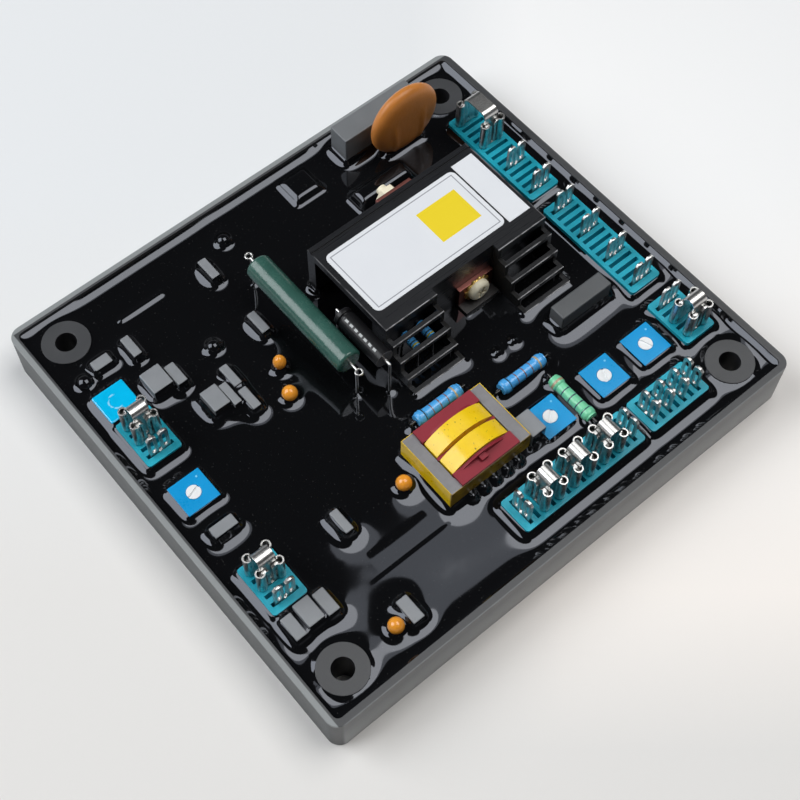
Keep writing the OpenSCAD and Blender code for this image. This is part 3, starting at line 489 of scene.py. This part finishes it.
# The transformer, the large box, the flat box and the banded resistors
climbs(box_reach(-5.4, -32.8, 25.5, 18.7), 2.2)
climbs(box_reach(41.8, 58.9, 26.6, 6.8), 2.4)
climbs(box_reach(45.5, -20.2, 17.2, 4.9), 2.5)
for x, y, long, wide in [(-2.5, -19.2, 15, 2.6), (19.8, -26.1, 15, 2.6), (24.8, -39.4, 2.6, 15)]:
    climbs(box_reach(x, y, long, wide), 1.8)
low_boxes = [
    (-52.1, 44.3, 2.5, 6.8), (-53.2, 31.2, 5.9, 6.9), (-48.3, 29.8, 3, 6.7), (-44.9, 17.5, 4.9, 6.8),
    (-41.1, 16.3, 2.3, 7.2), (-37.6, 21, 2.4, 7), (-37.8, 12.7, 2.5, 6.9), (-22.4, 50.8, 2.5, 7),
    (-22.4, 29.1, 2.5, 7.1), (-64, -11.4, 6.8, 3.3), (-41.3, -28.5, 2.4, 6.9), (-66.8, -42.3, 3.2, 6.7),
    (-61.9, -41.8, 4.7, 6.9), (-57.1, -42.2, 3.4, 6.9), (-43.1, -56.3, 3.3, 7), (10.1, -39.3, 4.6, 6.9),
    (-60.6, 45.5, 5.2, 3.2),
]
for row in low_boxes:
    climbs(box_reach(*row), 2.5)
bead_spots = [(-25.9, 15.6), (-29, 7.5), (-23, -30.2), (-48.1, -57.1)]
for x, y in bead_spots:
    climbs(round_reach(x, y, 2.6), 2.0)
tall_leads = [(-15.1, 40.7), (-15.1, -2.5), (-8.4, 13.5), (-8.4, -7.3)]
low_leads = [
    (40.2, 50.8), (50.2, 50.8), (-11.3, -19.2), (6.3, -19.2), (11, -26.1), (28.6, -26.1), (24.8, -48.2),
    (24.8, -30.6), (20, -16.5), (25.7, -16.5),
]
for leads, rise in ((tall_leads, 0.6), (low_leads, 1.4)):
    for x, y in leads:
        climbs(round_reach(x, y, 1), rise)
# Drowned round parts show as domes, and the transformer's pins as a row of smaller ones
domes = [(-67, 44.1, 2.7, 1.9), (-35.2, 31.8, 2.5, 1.8), (-13.3, 56.9, 2.5, 1.8)]
for x, y, radius, _ in domes:
    climbs(round_reach(x, y, 2 * radius - 1), 0.9)
domes += [(3.75 * step - 12, -43.4, 1.6, 2.3) for step in range(5)]
for x, y, radius, rise in domes:
    bulge = 1 - ((X - x) ** 2 + (Y - y) ** 2) / radius**2
    humps = np.maximum(humps, rise * np.sqrt(np.clip(bulge, 0, 1)))
# The foot of the disc, and three parts that lie under the resin
climbs(line_reach(39.5, 50.8, 51, 50.8) - 0.8, 1.7)
hump(box_reach(14, 57.8, 8.8, 8.6), 1.8)
hump(box_reach(31, 43, 18, 6), 3.5)
hump(line_reach(-49, 54, -36, 54) - 0.5, 0.7)
# The surface relaxes between its feet, takes in the humps, and is smoothed
grid = (cells_y + 1, cells_x + 1)
foot, held = foot.reshape(grid), held.reshape(grid)
surface = foot.copy()
for _ in range(260):
    surface = np.where(held, foot, neighbours(surface) / (4 + (pitch / creep) ** 2))
level = np.interp(surface.ravel(), pull, lift)
level = ((level**4 + humps**4) ** 0.25).reshape(grid)
for _ in range(2):
    level = 0.5 * level + 0.125 * neighbours(level)
level = level.ravel()
# It dips out of sight inside the open rows, the trimmers and the bosses
dip = -2.2
trimmer_rows = [(x, y, trimmer_wide, trimmer_wide) for x, y in trimmer_spots]
for row in list(terminal_rows.values()) + trimmer_rows:
    level = np.where(box_reach(*row) < -0.6, dip, level)
# A long low lump near the front, and the slope that runs out from it
lump_x, lump_y = -32.6, -44.6
slab = np.clip((9.2 - np.abs(X - lump_x)) / 0.5, 0, 1)
level += slab * 0.011 * (Y - lump_y) * (Y > lump_y) * np.clip((-37.9 - Y) / 2, 0, 1)
shelf = np.clip((13 - np.abs(X - lump_x)) / 7, 0, 1)
level += shelf * 0.11 * np.exp(np.minimum(Y - lump_y, 0) / 14) * (Y < lump_y)
boss_reach = np.hypot(np.abs(X) - boss_x, np.abs(Y) - boss_y)
level = np.where(boss_reach < 6.1, dip, level)
level += 0.04 * np.sin(X / 6.1 + 1.3 * np.sin(Y / 8.7)) * np.sin(Y / 7.3 + 0.8)
points[:, 2] = (resin_z + level) / 1000
resin.data.vertices.foreach_set("co", points.ravel())


def picked(piece, kind, wanted):
    """Selects the faces or edges of a piece that are wanted, and stays in edit mode."""
    only(piece)
    bpy.ops.object.mode_set(mode="EDIT")
    bpy.ops.mesh.select_mode(type=kind)
    bpy.ops.mesh.select_all(action="DESELECT")
    bpy.ops.object.mode_set(mode="OBJECT")
    for element in piece.data.polygons if kind == "FACE" else piece.data.edges:
        element.select = wanted(element)
    bpy.ops.object.mode_set(mode="EDIT")


def in_boss(face):
    """A face of the resin that would lie inside a fixing hole."""
    return math.hypot(abs(face.center.x) - boss_x / 1000, abs(face.center.y) - boss_y / 1000) < 0.0045


picked(resin, "FACE", in_boss)
bpy.ops.mesh.delete(type="FACE")
bpy.ops.mesh.select_mode(type="EDGE")
bpy.ops.mesh.select_non_manifold()
bpy.ops.mesh.extrude_edges_move(TRANSFORM_OT_translate={"value": (0, 0, -0.004)})
bpy.ops.mesh.fill(use_beauty=False)
bpy.ops.mesh.select_all(action="SELECT")
bpy.ops.mesh.normals_make_consistent(inside=False)
bpy.ops.object.mode_set(mode="OBJECT")
bpy.ops.object.shade_smooth_by_angle(angle=math.radians(60))
gloss, shader, place = finish("black_resin", Specular_IOR_Level=0.66, Specular_Tint=(0.86, 0.9, 1, 1))
film = cloud(place, 14)
dust = cloud(place, 0.5, 1) > 0.74
tint(dust * cloud(place, 9), (0.0035, 0.0037, 0.0042), (0.05, 0.05, 0.05)).to(shader, "Base Color")
(0.03 + 0.04 * film).to(shader, "Roughness")
relief(cloud(place, 6, 1), 0.012).to(shader, "Normal")
fitted(resin, gloss, "resin", "potting_resin", "coated_blocks")
lumps = taken("coated_transistors", "coated_transistor_lumps")
eased(lumps, 0, smooth=60)
fitted(lumps, gloss, "coat_black", "coated_transistors")

# Terminal blocks
# Seven rows of teal moulded connector, each a ladder of narrow slots, with its foot in the resin.
# The plastic is a glossy nylon whose edges come out of the mould slightly rounded.
teal = moulded("teal_nylon", (0.010, 0.36, 0.48), 0.34, 0.3, 0.02, 0.14, Specular_IOR_Level=0.35)
for row in terminal_rows:
    dressed(f"terminal_block_{row}", f"terminal_row_{row}", teal, "teal_plastic", 0.16, flats=False)

# Blade tabs
# Pairs of flat blades pressed from tinned brass strip stand in the rows, with chamfered tips.
# The plating is bright, with fine rolling lines along the strip.
tinned, shader, place = finish("bright_tin", Metallic=1.0)
rolled = place.node("ShaderNodeMapping", {}, {0: place, "Scale": (1, 1, 0.12)})
lines = cloud(rolled, 0.16)
stain = cloud(place, 2.2)
tint(stain, (0.46, 0.455, 0.44), (0.74, 0.74, 0.73)).to(shader, "Base Color")
(0.17 + 0.26 * lines).to(shader, "Roughness")
relief(lines, 0.01).to(shader, "Normal")
for row in terminal_rows:
    dressed(f"blade_tabs_{row}", f"blade_pairs_{row}", tinned, "tin", 0.1)

# Push-on links
# Straps of the same tinned strip join neighbouring ways. Each end is curled into a sleeve that
# grips a blade, and the crown is bent to a smooth arch.
for row, node in (("a", "link_a"), ("c", "link_c"), ("e", "links_e"), ("f", "link_f"), ("g", "link_g")):
    dressed(node, f"push_on_strap_{row}", tinned, "tin", 0.07)

# Preset trimmers
# Square blue potentiometers moulded in glossy plastic. A fifth one is sealed under bright blue
# lacquer with a pale curl on it. A small pale dot marks the first pin of each of the others.
azure = moulded("azure_plastic", (0.0, 0.30, 0.66), 0.3, 0.4, 0.02, 0.1, Specular_IOR_Level=0.3)
cyan, shader, place = finish("cyan_lacquer", Coat_Weight=0.6)
x, y, _ = parts(place)
x, y = x - sealed_spot[0], y - sealed_spot[1]
ring = abs(x * x + y * y - 4.4)
smear = limit(1.3 - ring, 0.8) * limit(0.8 - x, 0.8) * (cloud(place, 1.2) > 0.44)
patches = cloud(place, 7)
lacquer = tint(patches, (0.0, 0.44, 0.76), (0.0, 0.56, 0.96))
tint(0.4 * smear, lacquer, (0.6, 0.85, 0.95)).to(shader, "Base Color")
(0.1 + 0.12 * patches + 0.3 * smear).to(shader, "Roughness")
relief(cloud(place, 1.6), 0.06).to(shader, "Normal")
mark = moulded("pale_blue_mark", (0.16, 0.58, 0.85), 0.4, 0.3, 0.01, 0.05)
for number in (1, 2, 3, 4):
    dressed(f"trimmer_{number}", f"trimmer_body_{number}", azure, "trimmer_blue", 0.22)
dressed("sealed_trimmer", "lacquered_trimmer", cyan, "lacquer_blue", 0.5, 3)
for number, (x, y) in enumerate(trimmer_spots, 1):
    dot = begun(
        f"first_pin_dot_{number}",
        bpy.ops.mesh.primitive_cylinder_add,
        vertices=24,
        radius=0.0003,
        depth=0.00012,
        location=((x + 3) / 1000, (y + 3) / 1000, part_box(f"trimmer_{number}")[1][2]),
    )
    eased(dot, 0.03)
    fitted(dot, mark, "lacquer_blue")

# Trimmer rotors
# A white nylon disc with a screwdriver slot turns in the middle of each trimmer.
# It is held by a snap fit, and its rim is rounded.
chalk = moulded("white_nylon", (0.82, 0.84, 0.85), 0.45, 0.3, 0.015, 0.05)
for number in (1, 2, 3, 4):
    node, name = f"trimmer_rotor_{number}", f"slotted_rotor_{number}"
    dressed(node, name, chalk, "rotor_white", 0.1, body=f"rotor_{number}")

# Heatsink
# A black anodised aluminium extrusion bridges the power devices, with a top plate, two walls and
# two bays of stepped fins. Its gloss is drawn out along the extrusion, its edges carry painted
# highlights, and its front pocket is painted shade.
anodised, shader, place = finish("black_anodising", Specular_IOR_Level=0.4)
x, y, z = parts(place)
drawn = place.node("ShaderNodeMapping", {}, {0: place, "Scale": (0.03, 1, 1)})
streaks = cloud(drawn, 0.35)
# Painted highlights: the ends of the top plate and the edge of each fin step are painted pale grey, broken
# up by noise.
painted_edge_highlight = 0.35 * (abs(x - 22.6) > 26.66) * (z > 29.26)
for edge, top in ((-0.9, 29.5), (-3.85, 25.25), (-6.8, 21), (-9.75, 16.75), (-12.7, 13.4)):
    painted_edge_highlight = painted_edge_highlight + (abs(y - edge - 0.1) < 0.15) * (abs(z - top + 0.1) < 0.15)
painted_edge_highlight = painted_edge_highlight * limit(cloud(place, 3) - 0.35, 0.2)
dull = tint(cloud(place, 9), (0.008, 0.0085, 0.01), (0.015, 0.016, 0.019))
# Painted shade: the pocket in front of the heatsink is painted near-black and made rough.
pocket = (abs(x - 22.9) < 11.4) * (y < 0.8) * (z < 28.9)
shaded = tint(pocket, dull, (0.002, 0.002, 0.002))
tint(painted_edge_highlight, shaded, (0.30, 0.30, 0.31)).to(shader, "Base Color")
(0.2 + 0.2 * streaks + 0.2 * painted_edge_highlight + 0.45 * pocket).to(shader, "Roughness")
relief(streaks, 0.012).to(shader, "Normal")
dressed("heatsink", "anodised_heatsink", anodised, "black_anodised", 0.28, 3)

# Film labels
# Two pieces of white polyester film are stuck to the top plate. They are blank, apart from
# a thin grey frame and a plain yellow field for a note.
ink, shader, place = finish("white_film", Roughness=0.32, Coat_Weight=0.15)
x, y, _ = parts(place)


def field(x, y, left, near, right, far):
    """1 inside a rectangle of the plan, 0 outside."""
    across = abs(x - (left + right) / 2) < (right - left) / 2
    along = abs(y - (near + far) / 2) < (far - near) / 2
    return across * along


white = tint(cloud(place, 12), (0.74, 0.76, 0.80), (0.80, 0.82, 0.85))
framed = field(x, y, -1.4, 5.4, 39.6, 25.0) - field(x, y, -1.1, 5.7, 39.3, 24.7)
note = field(x, y, 24.0, 10.0, 37.0, 21.0)
tint(note, tint(framed, white, (0.32, 0.33, 0.36)), (0.86, 0.66, 0.02)).to(shader, "Base Color")
relief(cloud(place, 2.5), 0.02).to(shader, "Normal")
for node in ("blank_label", "strip_label"):
    dressed(node, f"film_{node}", ink, "label_white", 0.04)

# Power devices
# Two transistors in moulded black epoxy with plated copper tabs, one in the pocket at the front
# of the heatsink and one behind it, each clamped to a wall through its tab.
for side, top in (("front", 13.9), ("rear", 20.1)):
    material, shader, place = finish(f"{side}_epoxy_and_tab")
    z = parts(place)[2]
    metal = z > top + 0.05
    grain = cloud(place, 0.3)
    epoxy = tint(grain, (0.02, 0.019, 0.02), (0.04, 0.038, 0.038))
    tint(metal, epoxy, (0.34, 0.13, 0.11)).to(shader, "Base Color")
    metal.to(shader, "Metallic")
    (0.5 - 0.12 * metal + 0.15 * (grain - 0.5)).to(shader, "Roughness")
    relief(grain, 0.02).to(shader, "Normal")
    dressed(f"{side}_power_device", f"{side}_transistor", material, "device_black", 0.2)

# Device screw
# A zinc plated pan head screw with a pressed cross recess clamps the front transistor. A toothed
# spring washer under the head bites into the tab, and a bolt and nut clamp the rear transistor.
screw_x, screw_z = 0.0272, 0.0175
quarter_turn = math.pi / 2
screw = begun(
    "pan_head_screw",
    bpy.ops.mesh.primitive_cylinder_add,
    vertices=64,
    radius=0.0032,
    depth=0.0021,
    location=(screw_x, -0.0012, screw_z),
    rotation=(quarter_turn, 0, 0),
)


def round_front(edge):
    """An edge round the front of the screw's head."""
    return all(screw.data.vertices[v].co.y < -0.0021 for v in edge.vertices)


picked(screw, "EDGE", round_front)
bpy.ops.mesh.bevel(offset=0.0011, segments=6, profile=0.5)
bpy.ops.object.mode_set(mode="OBJECT")
for turn in (0, quarter_turn):
    cutter = begun(
        "cross_cutter",
        bpy.ops.mesh.primitive_cube_add,
        scale=(0.0037, 0.0016, 0.0008),
        size=1,
        location=(screw_x, -0.0022, screw_z),
        rotation=(0, turn + 0.5, 0),
    )
    modified(screw, "BOOLEAN", object=cutter, operation="DIFFERENCE", solver="EXACT")
    only(cutter)
    bpy.ops.object.delete()
eased(screw, 0.06)
cream = moulded("cream_zinc", (0.84, 0.78, 0.60), 0.45, 0.25, 0.015, 0.12)
fitted(screw, cream, "zinc", "front_device_screw")
washer_sides = 72
washer = begun(
    "toothed_washer",
    bpy.ops.mesh.primitive_cylinder_add,
    vertices=washer_sides,
    radius=0.0042,
    depth=0.0005,
    location=(screw_x, -0.0001, screw_z),
    rotation=(quarter_turn, 0, 0),
)
for vertex in washer.data.vertices:
    spoke = Vector((vertex.co.x - screw_x, 0, vertex.co.z - screw_z))
    step = round(math.atan2(spoke.z, spoke.x) / (2 * math.pi) * washer_sides) % 6
    if step in (0, 1, 2):
        vertex.co -= spoke * 0.16
eased(washer, 0.05)
brass = moulded("yellow_passivated_zinc", (0.72, 0.50, 0.16), 0.3, 0.25, 0.015, 0.2, Metallic=0.95)
fitted(washer, brass, "zinc")
dressed("rear_device_bolt", "rear_clamp_bolt", cream, "zinc", 0.15)

# Transformer
# A small laminated mains transformer. The steel core is wrapped in yellow tape, and the maroon
# bobbin carries two windings under glossy yellow tape, with its pins in the resin.
steel, shader, place = finish("grey_lamination", Metallic=0.35)
sheets = place.node("ShaderNodeMapping", {}, {0: place, "Scale": (0.05, 0.05, 1)})
layers = cloud(sheets, 0.4)
blend = layers * 0.6 + cloud(place, 1.2) * 0.4
tint(blend, (0.14, 0.138, 0.145), (0.28, 0.276, 0.288)).to(shader, "Base Color")
(0.36 + 0.25 * cloud(place, 0.5)).to(shader, "Roughness")
relief(layers, 0.03).to(shader, "Normal")
dressed("transformer_core", "laminated_core", steel, "core_grey", 0.2)
band = begun(
    "core_tape_band",
    bpy.ops.mesh.primitive_cube_add,
    scale=(0.02575, 0.01895, 0.0083),
    size=1,
    location=(-0.0054, -0.0328, 0.01665),
)
picked(band, "FACE", lambda face: abs(face.normal.z) > 0.5)
bpy.ops.mesh.delete(type="FACE")
bpy.ops.object.mode_set(mode="OBJECT")
modified(band, "SOLIDIFY", thickness=0.00022, offset=-1)
eased(band, 0.09)
amber, shader, place = finish("yellow_polyester_tape", Coat_Weight=0.25)
y = parts(place)[1]
patches, specks = cloud(place, 2.4), cloud(place, 0.55, 1)
yellow = tint(patches, (0.86, 0.54, 0.004), (1.0, 0.70, 0.008))
# Painted shade: the front face of the tape is painted dark brown, patchy with noise, where it faces away
# from the lamps.
painted_front_shade = limit(-41.7 - y, 0.4) * (0.75 + 0.8 * (cloud(place, 3.5) - 0.4))
tape_with_painted_shade = tint(painted_front_shade.maths("MAXIMUM", painted_front_shade, 0.0), yellow, (0.11, 0.06, 0.012))
tint(specks > 0.735, tape_with_painted_shade, (0.05, 0.025, 0.01)).to(shader, "Base Color")
(0.2 + 0.2 * patches).to(shader, "Roughness")
relief(cloud(place, 1.4), 0.05).to(shader, "Normal")
fitted(band, amber, "tape_yellow")
maroon = moulded("maroon_plastic", (0.26, 0.022, 0.036), 0.42, 0.4, 0.02, 0.15, Specular_IOR_Level=0.25)
dressed("transformer_bobbin", "maroon_bobbin", maroon, "bobbin_maroon", 0.2)
dressed("transformer_winding", "taped_winding", amber, "tape_yellow", 0.4, 3)
dressed("transformer_pins", "transformer_pin_row", tinned, "tin", 0.06)

# Power resistor
# A wirewound tube under thick dark green enamel stands off the board on its bent tinned leads.
# The enamel is glossy and uneven, and thins to a rounded lip at both ends.
enamel = moulded("dark_green_enamel", (0.03, 0.098, 0.078), 0.26, 1.1, 0.09, 0.3, Coat_Weight=0.3)
dressed("power_resistor", "enamelled_tube", enamel, "green_enamel", 0.5, 3)
dressed("power_resistor_leads", "tube_leads", tinned, "tin", 0)

# Electrolytic capacitor
# An axial aluminium can in a black shrink sleeve, with a rubber seal at both ends.
# A row of pale dashes runs along the sleeve.
sleeve, shader, place = finish("black_shrink_sleeve", Specular_IOR_Level=0.3)
x, y, z = parts(place)
bare = abs(y - 3.1) > 8.3
dashes = y.maths("PINGPONG", y, 0.9) > 0.35
stripe = (abs(x + 9.5) < 0.3) * (z > 26) * (abs(y - 3.1) < 6.3) * dashes
printed = tint(stripe, (0.006, 0.006, 0.007), (0.42, 0.44, 0.44))
tint(bare, printed, (0.05, 0.05, 0.055)).to(shader, "Base Color")
(0.26 + 0.12 * cloud(place, 0.8)).to(shader, "Roughness")
relief(cloud(place, 1.5), 0.04).to(shader, "Normal")
dressed("electrolytic_can", "sleeved_can", sleeve, "can_black", 0.3, 3)
dressed("electrolytic_leads", "can_leads", tinned, "tin", 0)

# Disc varistor
# A zinc oxide disc dipped in orange-brown epoxy. The coat shows the two soldered leads as ridges
# and runs a little way down the legs.
disc_r, disc_half = 11.2, 2.5
disc = begun("dipped_disc", bpy.ops.mesh.primitive_uv_sphere_add, segments=96, ring_count=48, radius=1)
spots = np.empty(len(disc.data.vertices) * 3)
disc.data.vertices.foreach_get("co", spots)
spots = spots.reshape(-1, 3)
radius = np.hypot(spots[:, 0], spots[:, 1])
flat = np.stack(
    [
        spots[:, 0] * disc_r,
        spots[:, 1] * disc_r,
        np.sign(spots[:, 2]) * disc_half * np.abs(np.clip(1 - radius**6, 0, 1)) ** 0.5,
    ],
    1,
)
ridge = sum(np.exp(-(((flat[:, 0] - s * 5 * (1 + flat[:, 1] * 0.012)) / 0.8) ** 2)) for s in (-1, 1))
fade = np.clip((3.5 - flat[:, 1]) / 5, 0, 1) * np.clip((1.0 - radius) * 9, 0, 1)
flat[:, 2] -= 0.45 * ridge * fade * (flat[:, 2] < 0)
placed = np.stack([45.2 + flat[:, 0], 50.8 + flat[:, 2], 24.5 + flat[:, 1]], 1) / 1000
disc.data.vertices.foreach_set("co", placed.ravel())
only(disc)
bpy.ops.object.mode_set(mode="EDIT")
bpy.ops.mesh.select_all(action="SELECT")
bpy.ops.mesh.normals_make_consistent(inside=False)
bpy.ops.object.mode_set(mode="OBJECT")
bpy.ops.object.shade_smooth()
dipped = moulded("orange_brown_epoxy", (0.56, 0.2, 0.035), 0.4, 0.8, 0.07, 0.2)
fitted(disc, dipped, "varistor_orange", "disc_varistor")
dressed("varistor_legs", "disc_legs", tinned, "tin", 0)

# Boxed capacitors
# Film capacitors moulded in grey plastic boxes, one large and one flat, and a family of small ones
# that stand edge up in the resin with only their tops clear of it.
pale_grey, shader, place = finish("grey_box_plastic")
facing = Flow(place.tree, place.tree.nodes.new("ShaderNodeNewGeometry").outputs["Normal"])
side, _, up = parts(facing)
# Painted light and shade: the tops and the sides facing the left lamp are painted grey as lit, and the
# other sides near-black as shade.
top = up > 0.55
painted_light = (side < -0.55) * (parts(place)[2] > 14.6 + 0.5 * cloud(place, 1.5))
grain = cloud(place, 0.3)
plain = tint(cloud(place, 4), (0.20, 0.212, 0.228), (0.26, 0.272, 0.288))
tint(top + painted_light, (0.010, 0.010, 0.012), plain).to(shader, "Base Color")
(0.14 + 0.28 * top + 0.16 * (grain - 0.5)).to(shader, "Roughness")
relief(grain, 0.025).to(shader, "Normal")
mid_grey = moulded("large_box_plastic", (0.155, 0.165, 0.175), 0.42, 0.3, 0.025, 0.15)
dark_grey = moulded("flat_box_plastic", (0.085, 0.09, 0.095), 0.42, 0.3, 0.025, 0.15)
for node, name, width, material, slot in (
    ("box_capacitor", "large_film_box", 0.35, mid_grey, "capacitor_grey"),
    ("film_capacitor", "flat_film_box", 0.4, dark_grey, "film_grey"),
    ("small_film_capacitors", "small_film_boxes", 0.3, pale_grey, "capacitor_grey"),
):
    dressed(node, name, material, slot, width, 3)

# Bead capacitors
# Four tantalum beads dipped in orange epoxy sit just above the resin on short legs.
# The coat is glossy and slightly lumpy, and one bead is drawn out to a slim drop.
beads = taken("bead_capacitors", "dipped_beads")
drop_x, drop_y, drop_z = bead_spots[0][0] / 1000, bead_spots[0][1] / 1000, 0.0165
for vertex in beads.data.vertices:
    stem = vertex.co - Vector((drop_x, drop_y, drop_z))
    if math.hypot(stem.x, stem.y) < 0.004:
        slim = 0.86 + 60 * min(stem.z, 0)
        vertex.co = (drop_x + slim * stem.x, drop_y + slim * stem.y, drop_z + 1.2 * stem.z)
eased(beads, 0)
orange = moulded("orange_epoxy", (0.83, 0.32, 0.03), 0.2, 0.9, 0.08, 0.16, Coat_Weight=0.4)
fitted(beads, orange, "bead_orange", "bead_capacitors")


# Banded resistors
# Axial film resistors lie in the resin under a thick coloured lacquer that bulges at both ends.
# Thin painted bands run round each body.
def banded(name, colour, axis, centre, bands, ends):
    """A lacquer with bands across an axis, each a place, a width and a paint, and wire past its ends."""
    material, shader, place = finish(name, Coat_Weight=0.3)
    along = parts(place)[axis] - centre
    patches = cloud(place, 3)
    coat = tint(patches, [c * 0.85 for c in colour], [c * 1.12 for c in colour])
    for spot, wide, paint in bands:
        coat = tint(abs(along - spot) < wide / 2, coat, paint)
    wire = abs(along) > ends
    tint(wire, coat, (0.006, 0.006, 0.007)).to(shader, "Base Color")
    (0.2 + 0.2 * cloud(place, 0.6)).to(shader, "Roughness")
    relief(cloud(place, 1.1), 0.05).to(shader, "Normal")
    return material


sky, mint = (0.075, 0.38, 0.80), (0.19, 0.66, 0.38)
umber, ebony, tan = (0.20, 0.10, 0.10), (0.02, 0.05, 0.08), (0.42, 0.34, 0.22)
straw = (0.42, 0.36, 0.05)
blue_bands = [
    (-4.9, 0.35, ebony), (-2.3, 0.3, umber), (0.2, 0.35, umber), (2.6, 0.3, umber), (5.0, 0.5, tan),
]
green_bands = [
    (-5.0, 0.3, ebony), (-2.6, 0.35, ebony), (-0.1, 0.35, ebony), (2.4, 0.35, ebony), (5.4, 0.7, tan),
]
small_bands = [(-2.0, 0.5, straw), (-1.1, 0.35, ebony), (0.3, 0.35, umber), (1.6, 0.4, ebony)]
sky_a = banded("sky_lacquer_a", sky, 0, -2.5, blue_bands, 7.3)
sky_b = banded("sky_lacquer_b", sky, 0, 19.8, blue_bands, 7.3)
sky_small = banded("sky_lacquer_small", sky, 1, -2.1, small_bands, 2.6)
mint_long = banded("mint_lacquer", mint, 1, -39.4, green_bands, 7.3)
dressed("blue_resistor_a", "banded_blue_a", sky_a, "resistor_blue", 0)
dressed("blue_resistor_b", "banded_blue_b", sky_b, "resistor_blue", 0)
dressed("green_resistor", "banded_green", mint_long, "resistor_green", 0)
dressed("small_blue_resistors", "small_banded_blues", sky_small, "resistor_blue", 0)
